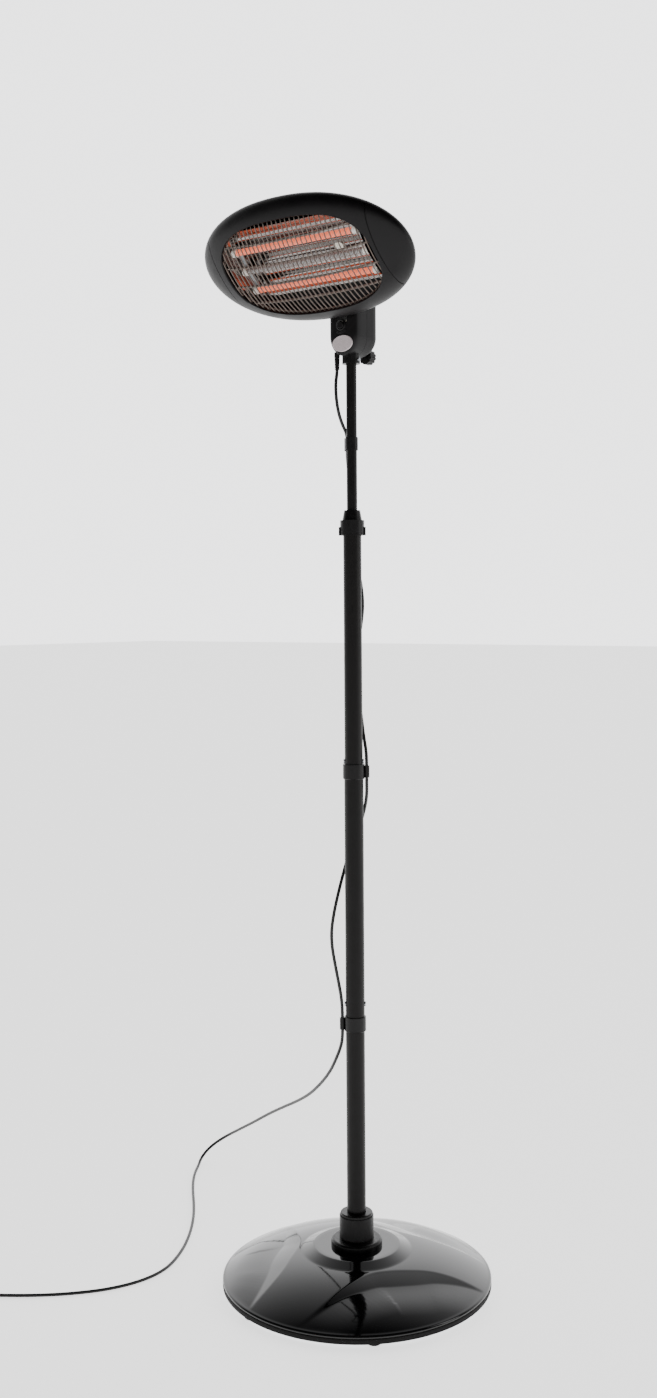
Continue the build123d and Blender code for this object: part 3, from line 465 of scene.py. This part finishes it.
# One swirl, seen from above: the ridge that its hollow starts from, and the hollow's width and depth there.
SWIRL_RIDGE = [(48, -243), (53, -228), (59, -208), (64, -181), (68, -143), (74, -106), (84, -68), (103, -40),
               (126, -13), (152, 16), (183, 40), (212, 57), (234, 68)]
SWIRL_WIDTH = [3, 5, 7, 10, 17, 27, 36, 39, 37, 30, 20, 10, 3]
SWIRL_DEPTH = [0.0, 0.2, 0.7, 2.2, 4.2, 5.4, 6.0, 6.0, 5.6, 4.8, 3.6, 2.0, 0.5]
SWIRL_RETURN = 75.0
SWIRL_COUNT = 3
RIDGE_ROUND = 0.12


def dome_height(r):
    if r <= PLATEAU[0]:
        return PLATEAU[1]
    if r <= SHOULDER[0]:
        return PLATEAU[1] + (SHOULDER[1] - PLATEAU[1]) * (r - PLATEAU[0]) / (SHOULDER[0] - PLATEAU[0])
    if r <= DOME_FOOT[0]:
        return DOME_ARC_CENTRE[1] + math.sqrt(DOME_ARC_RADIUS**2 - (r - DOME_ARC_CENTRE[0]) ** 2)
    fall = (r - DOME_FOOT[0]) / (BASE_RADIUS - DOME_FOOT[0])
    return DOME_FOOT[1] - 4.0 * (1 - math.sqrt(max(0.0, 1 - fall * fall)))


def smooth_run(points, parts):
    """A smooth run of points through the given ones, with so many parts between each two."""
    found = []
    for k in range(len(points) - 1):
        a, b, c, d = (Vector(points[min(max(k + step, 0), len(points) - 1)]) for step in (-1, 0, 1, 2))
        for t in (j / parts for j in range(parts)):
            bend = (2 * a - 5 * b + 4 * c - d) * t * t + (3 * b - a - 3 * c + d) * t**3
            found.append(b + ((c - a) * t + bend) / 2)
    return found + [Vector(points[-1])]


swirl = smooth_run([(x, y, w, d) for (x, y), w, d in zip(SWIRL_RIDGE, SWIRL_WIDTH, SWIRL_DEPTH)], 4)


def swirl_drop(x, y):
    """How far the cover is pressed down at a place by the swirl on it."""
    deepest = 0.0
    for turn in range(SWIRL_COUNT):
        spin = 2 * math.pi * turn / SWIRL_COUNT
        px = x * math.cos(spin) + y * math.sin(spin)
        py = y * math.cos(spin) - x * math.sin(spin)
        best = None
        for k in range(len(swirl) - 1):
            ax, ay = swirl[k][0], swirl[k][1]
            lx, ly = swirl[k + 1][0] - ax, swirl[k + 1][1] - ay
            part = ((px - ax) * lx + (py - ay) * ly) / (lx * lx + ly * ly)
            clipped = min(1.0, max(0.0, part))
            off = math.hypot(px - ax - clipped * lx, py - ay - clipped * ly)
            if best is None or off < best[0]:
                side = lx * (py - ay) - ly * (px - ax)
                beyond = (k == 0 and part < 0) or (k == len(swirl) - 2 and part > 1)
                best = (off, side, k + clipped, beyond)
        off, side, spot, beyond = best
        if side > 0 or beyond:
            continue
        k = min(int(spot), len(swirl) - 2)
        wide, deep = swirl[k].lerp(swirl[k + 1], spot - k)[2:]
        if off < wide:
            fall = off / wide
            drop = deep * (fall if fall > RIDGE_ROUND else fall * (fall / RIDGE_ROUND + 1) / 2)
        else:
            drop = deep * (1 - blend_step((off - wide) / SWIRL_RETURN))
        deepest = max(deepest, drop)
    return deepest


def ring_at(r, z, around=420):
    """A level ring of corners round the base's axis."""
    turns = (2 * math.pi * k / around for k in range(around))
    return [(r * math.cos(t), r * math.sin(t), z) for t in turns]


def pressed_ring(r):
    """A ring of the cover's upper face, with the swirls pressed into it between the shoulder and the rim."""
    ring = ring_at(r, dome_height(r))
    fade = blend_step((r - 103.0) / 8.0) * blend_step((248.0 - r) / 8.0)
    return [(x, y, z - fade * swirl_drop(x, y)) for x, y, z in ring] if fade > 0 else ring


corners, faces = [], []
ring_radii = [SOCKET_HOLE + 35 * k / 4 for k in range(4)] + [79, 80.5, 82] + [86 + 4 * k for k in range(4)]
ring_radii += [101, 103] + [105 + 2 * k for k in range(70)] + [245.5, 247, 248.4, 249.4, BASE_RADIUS]
edge = [(BASE_RADIUS, 16.0), (249.6, BAND_TOP), (247.4, BAND_TOP)]
inside = [(r - 2.0, dome_height(r) - COVER_WALL - 5.0) for r in (240, 200, 160, 130, 104)]
inside += [(78, PLATEAU[1] - 2.5), (SOCKET_HOLE, PLATEAU[1] - 2.5)]
rows = [pressed_ring(r) for r in ring_radii] + [ring_at(r, z) for r, z in edge + inside]
grid(corners, faces, rows, close_across=True, close_along=True)
base_shell = dress(made("pressed_base_cover", corners, faces, 40), gloss_abs)
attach(base_shell, "stand")
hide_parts("base_cover")

# The dull band round the cover's edge, with a fine groove under its top.
corners, faces = [], []
band_profile = [
    (249.6, BAND_TOP), (249.2, 15.0), (249.2, 14.2), (BASE_RADIUS, 13.6), (BASE_RADIUS, 5.6),
    (249.5, BAND_FOOT), (247.6, BAND_FOOT), (247.4, BAND_TOP),
]
turned(corners, faces, band_profile, (0, 0, 0), UP, sides=420)
edge_band = dress(made("base_edge_band", corners, faces, 40), rubber)
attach(edge_band, "stand")

# ---------------------------------------------------------------- head
HEAD_CENTRE = Vector((0, -127, 1860))
FACE_TILT = math.radians(47)
FACE_OUT = Vector((0, -math.cos(FACE_TILT), -math.sin(FACE_TILT)))
FACE_UP = Vector((0, -math.sin(FACE_TILT), math.cos(FACE_TILT)))
HALF_WIDTH, HALF_HEIGHT, HALF_DEPTH = 219.0, 122.5, 46.0
END_POWER = 2.2
CAP_SEAM = 171.0
SEAM_GAP = 1.3
OPENING_MIDDLE = (4.0, 4.0)
OPENING_HALF = (160.0, 95.0)
OPENING_POWER = 2.6
LIP_DEPTH = 13.0


def in_head(along, up, out):
    return HEAD_CENTRE + Vector((along, 0, 0)) + FACE_UP * up + FACE_OUT * out


def girth(along):
    """The form's half size at a place along the head, as a part of the middle's."""
    return math.sqrt(max(0.0, 1 - abs(along / HALF_WIDTH) ** END_POWER))


def front_height(along, up):
    """How far the rounded form stands out in front of the head's middle plane."""
    return HALF_DEPTH * math.sqrt(max(0.0, girth(along) ** 2 - (up / HALF_HEIGHT) ** 2))


def opening_edge(angle, grow=0.0):
    """A point on the opening's rounded outline."""
    c, s = math.cos(angle), math.sin(angle)
    size = (abs(c) ** OPENING_POWER + abs(s) ** OPENING_POWER) ** (-1 / OPENING_POWER)
    return (OPENING_MIDDLE[0] + (OPENING_HALF[0] + grow) * c * size,
            OPENING_MIDDLE[1] + (OPENING_HALF[1] + grow) * s * size)


def rim_point(angle, limit):
    """The form's farthest point in its middle plane, in the direction of an opening point, within a seam."""
    x, v = opening_edge(angle)
    lo, hi = 1.0, 3.0
    for _ in range(40):
        mid = (lo + hi) / 2
        px, pv = x * mid, v * mid
        inside_form = abs(px) < limit and abs(pv) < HALF_HEIGHT * girth(px)
        lo, hi = (mid, hi) if inside_form else (lo, mid)
    return x * lo, v * lo


def bezel():
    """The front shell round the opening, with a lip that turns in behind the guard."""
    corners, faces = [], []
    around, across = 360, 14
    lip_steps = ((-1.0, LIP_DEPTH), (1.6, LIP_DEPTH), (1.6, 6.0), (1.4, 2.0), (0.9, 0.6))
    rows = [[] for _ in range(len(lip_steps) + across + 3)]
    for k in range(around):
        angle = 2 * math.pi * k / around
        ex, ev = opening_edge(angle)
        rx, rv = rim_point(angle, CAP_SEAM - SEAM_GAP / 2)
        out_x, out_v = Vector((ex - OPENING_MIDDLE[0], ev - OPENING_MIDDLE[1])).normalized()
        top = front_height(ex, ev)
        section = [in_head(ex - out_x * step, ev - out_v * step, top - drop) for step, drop in lip_steps]
        for j in range(across + 1):
            part = math.sin(j / across * math.pi / 2)
            x, v = ex + (rx - ex) * part, ev + (rv - ev) * part
            section.append(in_head(x, v, front_height(x, v)))
        x, v = rx * 0.985, rv * 0.985
        section.append(in_head(x, v, max(0.5, front_height(x, v) - 3.0)))
        x, v = ex + out_x * 3.0, ev + out_v * 3.0
        section.append(in_head(x, v, front_height(x, v) - 3.5))
        for row, corner in zip(rows, section):
            row.append(corner)
    grid(corners, faces, rows, close_across=True, close_along=True)
    return made("head_front_bezel", corners, faces, 50)


def shell(name, from_x, to_x, from_angle, to_angle, steps, wall=2.4):
    """A part of the rounded form between two places along it and two angles round it, with a wall."""
    corners, faces = [], []
    closed = to_angle - from_angle > 359
    turns = 160 if closed else 96
    count = turns if closed else turns + 1
    outer, inner = [], []
    for i in range(steps + 1):
        x = from_x + (to_x - from_x) * math.sin(i / steps * math.pi / 2)
        near = max(0.02, girth(x))
        row, back = [], []
        for k in range(count):
            a = math.radians(from_angle + (to_angle - from_angle) * k / turns)
            up, out = HALF_HEIGHT * near * math.cos(a), HALF_DEPTH * near * math.sin(a)
            row.append(in_head(x, up, out))
            slim = max(0.01, 1 - wall / (HALF_DEPTH * near))
            sink = x - math.copysign(min(abs(x), wall if abs(x) > CAP_SEAM + 30 else 0.0), x)
            back.append(in_head(sink, up * (1 - (1 - slim) * 0.45), out * slim))
        outer.append(row)
        inner.append(back)
    grid(corners, faces, outer + inner[::-1], close_across=closed, close_along=True)
    if not closed:
        wide = count
        total = len(outer) * 2
        for side in (0, wide - 1):
            for i in range(steps):
                a, b = i * wide + side, (i + 1) * wide + side
                c, d = (total - 2 - i) * wide + side, (total - 1 - i) * wide + side
                faces.append((a, b, c, d))
    return made(name, corners, faces, 50)


front_bezel = dress(bezel(), satin_black)
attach(front_bezel, "head")
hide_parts("head_bezel")

rear = dress(shell("head_rear_cover", -CAP_SEAM + SEAM_GAP / 2, CAP_SEAM - SEAM_GAP / 2, 180.4, 359.6, 40),
             satin_black)
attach(rear, "head")
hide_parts("head_rear_shell")
for side, node in ((-1, "left_end_cap"), (1, "right_end_cap")):
    cap = shell(node + "_shell", side * (CAP_SEAM + SEAM_GAP / 2), side * HALF_WIDTH, 0, 360, 18)
    dress(cap, satin_black)
    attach(cap, "head")
    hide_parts(node)

# Tongues that close the seams between the bezel and the end caps, set back from the surface.
TONGUE_SINK = 1.2
corners, faces = [], []
for side in (-1, 1):
    rows = []
    for place, sink in ((-0.5, 1.0), (0.5, 1.0), (0.5, 2.0), (-0.5, 2.0)):
        x = CAP_SEAM + place * SEAM_GAP
        high, deep = (half * girth(x) - sink * TONGUE_SINK for half in (HALF_HEIGHT, HALF_DEPTH))
        turns = (2 * math.pi * k / 160 for k in range(160))
        rows.append([in_head(side * x, high * math.cos(t), deep * math.sin(t)) for t in turns])
    grid(corners, faces, rows, close_across=True, close_along=True)
seam_tongues = dress(made("end_cap_tongues", corners, faces, 35), rubber)
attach(seam_tongues, "head")

# Wire guard: upright wires bowed to the head's form, four cross bars and a frame behind the lip.
WIRE = 1.15
WIRE_PITCH = 9.6
WIRE_SINK = 4.0
CROSS_BARS = (-53.0, -14.0, 25.0, 64.0)
BAR = 1.9
FRAME_WIRE = 1.5
FRAME_SINK = 9.0
WIRE_INSET = 1.2


def guard_point(x, v, sink=WIRE_SINK):
    return in_head(x, v, front_height(x, v) - sink)


def opening_reach(x, grow):
    """The opening's lowest and highest place at a place along the head."""
    part = min(1.0, abs(x - OPENING_MIDDLE[0]) / (OPENING_HALF[0] + grow))
    half = (OPENING_HALF[1] + grow) * (1 - part**OPENING_POWER) ** (1 / OPENING_POWER)
    return OPENING_MIDDLE[1] - half, OPENING_MIDDLE[1] + half


corners, faces = [], []
for k in range(-17, 18):
    x = OPENING_MIDDLE[0] + k * WIRE_PITCH
    low, high = opening_reach(x, -WIRE_INSET)
    if high - low < 12:
        continue
    path = [guard_point(x, low + (high - low) * j / 24) for j in range(25)]
    path = [guard_point(x, low - 0.5, FRAME_SINK)] + path + [guard_point(x, high + 0.5, FRAME_SINK)]
    tube(corners, faces, path, WIRE, sides=8)
for up in CROSS_BARS:
    part = abs(up - OPENING_MIDDLE[1]) / (OPENING_HALF[1] - WIRE_INSET)
    half = (OPENING_HALF[0] - WIRE_INSET) * (1 - part**OPENING_POWER) ** (1 / OPENING_POWER)
    places = (OPENING_MIDDLE[0] + half * (2 * j / 48 - 1) for j in range(49))
    tube(corners, faces, [guard_point(x, up, WIRE_SINK + 2 * WIRE) for x in places], BAR, sides=8)
frame_path = [guard_point(*opening_edge(2 * math.pi * k / 180, -1.5), FRAME_SINK) for k in range(180)]
tube(corners, faces, frame_path, FRAME_WIRE, sides=8, closed=True)
guard = dress(made("wire_guard", corners, faces), dark_wire)
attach(guard, "head")
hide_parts("guard_grille")

# Reflector: one bent sheet with a shallow trough behind each tube, and end plates.
ELEMENT_PITCH = 40.0
ELEMENT_OUT = 6.0
REFLECTOR_FOOT, REFLECTOR_TOP = -60.0, 84.0
REFLECTOR_HALF = 136.0
SHEET = 0.8


def reflector_bowl(v):
    """How far out of the head's middle plane the reflector's broad curve lies."""
    return -20.0 + 34.0 * (v / REFLECTOR_TOP) ** 2


corners, faces = [], []
rows, backs = [], []
across = (-REFLECTOR_HALF, -100, -50, 0, 50, 100, REFLECTOR_HALF)
for j in range(121):
    v = REFLECTOR_FOOT + (REFLECTOR_TOP - REFLECTOR_FOOT) * j / 120
    trough = 4.0 * math.cos(2 * math.pi * v / ELEMENT_PITCH) * (1 - blend_step((abs(v) - 56) / 12))
    out = reflector_bowl(v) - trough
    rows.append([in_head(x, v, out) for x in across])
    backs.append([in_head(x, v, out - SHEET) for x in across])
grid(corners, faces, rows + backs[::-1], close_across=False, close_along=True)
for side in (-1, 1):
    plate, plate_back = [], []
    for j in range(31):
        v = REFLECTOR_FOOT + 2.0 + (78.0 - REFLECTOR_FOOT) * j / 30
        low = reflector_bowl(v)
        high = max(low + 1.0, front_height(side * 150, v) - 10.0)
        for row, x in ((plate, 0.0), (plate_back, SHEET)):
            foot, brow = side * (REFLECTOR_HALF + 0.5 + x), side * (148 + x)
            row.append([in_head(foot, v, low), in_head(brow, v, high)])
    grid(corners, faces, plate + plate_back[::-1], close_across=False, close_along=True)
reflector = dress(made("bent_reflector", corners, faces, 40), reflector_metal)
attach(reflector, "head")
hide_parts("reflector")

# Quartz tubes with pinched, capped ends, and the coil inside each.
TUBE_RADIUS, TUBE_BORE, TUBE_HALF = 5.5, 3.4, 128.0
COIL_RADIUS, COIL_HALF, COIL_WIRE = 2.6, 122.0, 0.5
COIL_LOOPS, LOOP_POINTS = 80, 10
end_profile = [(TUBE_BORE, 0.0), (5.0, 0.6), (TUBE_RADIUS, 2.0)]
body_length = 2 * (TUBE_HALF - 2.0)
for row, node, material, slot_name in (
    (-1, "lower_element", lit_quartz, "lit_quartz"),
    (0, "middle_element", clear_quartz, "clear_quartz"),
    (1, "upper_element", lit_quartz, "lit_quartz"),
):
    corners, faces = [], []
    profile = [(r, step - TUBE_HALF) for r, step in end_profile]
    profile += [(TUBE_RADIUS, body_length * (j / 40 - 0.5)) for j in range(1, 40)]
    profile += [(r, TUBE_HALF - step) for r, step in reversed(end_profile)]
    profile += [(TUBE_BORE, body_length / 2), (TUBE_BORE, -body_length / 2)]
    turned(corners, faces, profile, in_head(0, row * ELEMENT_PITCH, ELEMENT_OUT), (1, 0, 0), sides=32)
    element = dress(made(node + "_tube", corners, faces, 40), material)
    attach(element, "head")
    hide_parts(node)
corners, faces = [], []
for row in (-1, 0, 1):
    path = []
    for k in range(COIL_LOOPS * LOOP_POINTS + 1):
        t = 2 * math.pi * k / LOOP_POINTS
        along = COIL_HALF * (2 * k / (COIL_LOOPS * LOOP_POINTS) - 1)
        round_tube = COIL_RADIUS * (math.cos(t) * FACE_UP + math.sin(t) * FACE_OUT)
        path.append(in_head(along, row * ELEMENT_PITCH, ELEMENT_OUT) + round_tube)
    tube(corners, faces, path, COIL_WIRE, sides=5)
heating_coils = dress(made("heating_coils", corners, faces), wire_oxide)
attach(heating_coils, "head")
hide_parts("element_coils")

# ---------------------------------------------------------------- neck
NECK_HALF = 31.0
NECK_FRONT, NECK_BACK = -27.0, 40.0
NECK_MIDDLE = 6.5
NECK_BOTTOM = 1708.0
NECK_ROUND = 36.0
PIVOT_HEIGHT = 1800.0
SLOT_FLOOR = 1766.0
SLOT_HALF = 11.0
NECK_POWER = 8.0
PARTING = 0.25


def neck_size(z, side):
    """The neck's half width and half depth at a height: a rounded foot, fuller in front, and a round head."""
    deep = (NECK_BACK - NECK_FRONT) / 2
    round_foot = 1.0
    if z < NECK_BOTTOM + NECK_ROUND:
        round_foot = math.sqrt(max(0.0, 1 - ((NECK_BOTTOM + NECK_ROUND - z) / NECK_ROUND) ** 2))
    if z > PIVOT_HEIGHT:
        return NECK_HALF, math.sqrt(max(0.0, deep**2 - (z - PIVOT_HEIGHT) ** 2))
    fullness = 0.35 if side > 0 else 0.82
    return NECK_HALF * round_foot, deep * (fullness + (1 - fullness) * round_foot)


def neck_half(name, side):
    """The front or rear half of the neck, with two ears beside the knuckle's slot."""
    corners, faces = [], []
    angles = [math.pi * k / 48 for k in range(49)]

    def ring(z, low, high):
        wide, deep = neck_size(z, side)
        row = []
        for a in angles:
            c, s = math.cos(a), math.sin(a)
            size = (abs(c) ** NECK_POWER + abs(s) ** NECK_POWER) ** (-1 / NECK_POWER)
            x, y = wide * c * size, deep * s * size
            row.append((min(high, max(low, x)), NECK_MIDDLE + side * max(PARTING, y), z))
        return row

    heights = [NECK_BOTTOM + 0.05 + NECK_ROUND * (1 - math.cos(math.pi / 2 * k / 14)) for k in range(15)]
    foot_top = NECK_BOTTOM + NECK_ROUND
    heights += [foot_top + (SLOT_FLOOR - foot_top) * k / 4 for k in range(1, 5)]
    rows = [ring(z, -NECK_HALF, NECK_HALF) for z in heights]
    start = grid(corners, faces, rows, close_across=True)
    wide = len(angles)
    faces.append(tuple(range(start, start + wide)))
    faces.append(tuple(range(start + (len(rows) - 1) * wide, start + len(rows) * wide)))
    ear_heights = [SLOT_FLOOR + (PIVOT_HEIGHT - SLOT_FLOOR) * k / 4 for k in range(5)]
    ear_heights += [PIVOT_HEIGHT + 33.4 * math.sin(math.pi / 2 * k / 14) for k in range(1, 15)]
    for low, high in ((-NECK_HALF, -SLOT_HALF), (SLOT_HALF, NECK_HALF)):
        rows = [ring(z, low, high) for z in ear_heights]
        start = grid(corners, faces, rows, close_across=True)
        faces.append(tuple(range(start, start + wide)))
        faces.append(tuple(range(start + (len(rows) - 1) * wide, start + len(rows) * wide)))
    return made(name, corners, faces, 35)


for name, node, side in (
    ("neck_front_cover", "neck_front_shell", -1),
    ("neck_rear_cover", "neck_rear_shell", 1),
):
    cover = dress(neck_half(name, side), satin_black)
    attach(cover, "mast")
    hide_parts(node)

# A raised collar round the button, and two short ribs below it.
BUTTON_X, BUTTON_HEIGHT = -1.8, 1762.0
corners, faces = [], []
turned(corners, faces, [(7.0, 0.4), (7.3, -1.2), (8.6, -1.7), (10.0, -1.0), (10.6, 0.4)],
       (BUTTON_X, NECK_FRONT, BUTTON_HEIGHT), (0, 1, 0), sides=40)
for reach, rib in ((12.5, 0.9), (15.0, 0.7)):
    turns = (math.radians(a) for a in range(225, 316, 6))
    arc = [(BUTTON_X + reach * math.cos(t), NECK_FRONT - 0.1, BUTTON_HEIGHT + reach * math.sin(t))
           for t in turns]
    tube(corners, faces, arc, rib, sides=8)
button_collar = dress(made("button_collar", corners, faces, 40), moulded_black)
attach(button_collar, "mast")

# ---------------------------------------------------------------- floor and light
# White acrylic over a light box: an even pale floor that glows a little.
FLOOR_HALF, FLOOR_STEP = 40000, 8000
floor_material = finish("lit_white_acrylic", ("#f1f1f0", "#f4f4f3"), 400, (0.9, 0.95), Emission_Strength=1.7,
                        Emission_Color=linear("#f8f8f8"))
corners, faces = [], []
places = range(-FLOOR_HALF, FLOOR_HALF + 1, FLOOR_STEP)
grid(corners, faces, [[(x, y, -0.2) for x in places] for y in places])
floor = dress(made("floor", corners, faces), floor_material)

# The room: a bright wall behind the heater, a dimmer ceiling, and a dark side in front.
world = bpy.data.worlds.new("soft_room")
world.use_nodes = True
sky = world.node_tree
direction = add(sky, "ShaderNodeTexCoord")
facing = add(sky, "ShaderNodeVectorMath", {1: (-0.55, 0.835, 0.0)}, {0: direction.outputs["Generated"]},
             operation="DOT_PRODUCT")
walls = add(sky, "ShaderNodeMapRange", {"From Min": 0.1, "From Max": 0.85, "To Min": 0.08, "To Max": 3.2},
            {"Value": facing.outputs["Value"]}, interpolation_type="SMOOTHSTEP")
height = add(sky, "ShaderNodeSeparateXYZ", links={0: direction.outputs["Generated"]})
ceiling = add(sky, "ShaderNodeMapRange", {"From Min": 0.36, "From Max": 0.85, "To Min": 1.0, "To Max": 0.6},
              {"Value": height.outputs["Z"]}, interpolation_type="SMOOTHSTEP")
both = add(sky, "ShaderNodeMath", links={0: walls.outputs["Result"], 1: ceiling.outputs["Result"]},
           operation="MULTIPLY")
backdrop = sky.nodes["Background"]
backdrop.inputs["Color"].default_value = linear("#f6f6f7")
sky.links.new(both.outputs["Value"], backdrop.inputs["Strength"])
bpy.context.scene.world = world


# A tall soft box at the right, aimed at the pole.
BOX_PLACE, BOX_AIM = Vector((3.2, 1.6, 2.0)), Vector((0, 0, 1.2))
box_light = bpy.data.lights.new("right_soft_box", "AREA")
box_light.shape = "RECTANGLE"
box_light.size, box_light.size_y = 1.2, 2.8
box_light.energy = 30
soft_box = bpy.data.objects.new("right_soft_box", box_light)
soft_box.location = BOX_PLACE
soft_box.rotation_euler = (BOX_AIM - BOX_PLACE).to_track_quat("-Z", "Y").to_euler()
bpy.context.scene.collection.objects.link(soft_box)
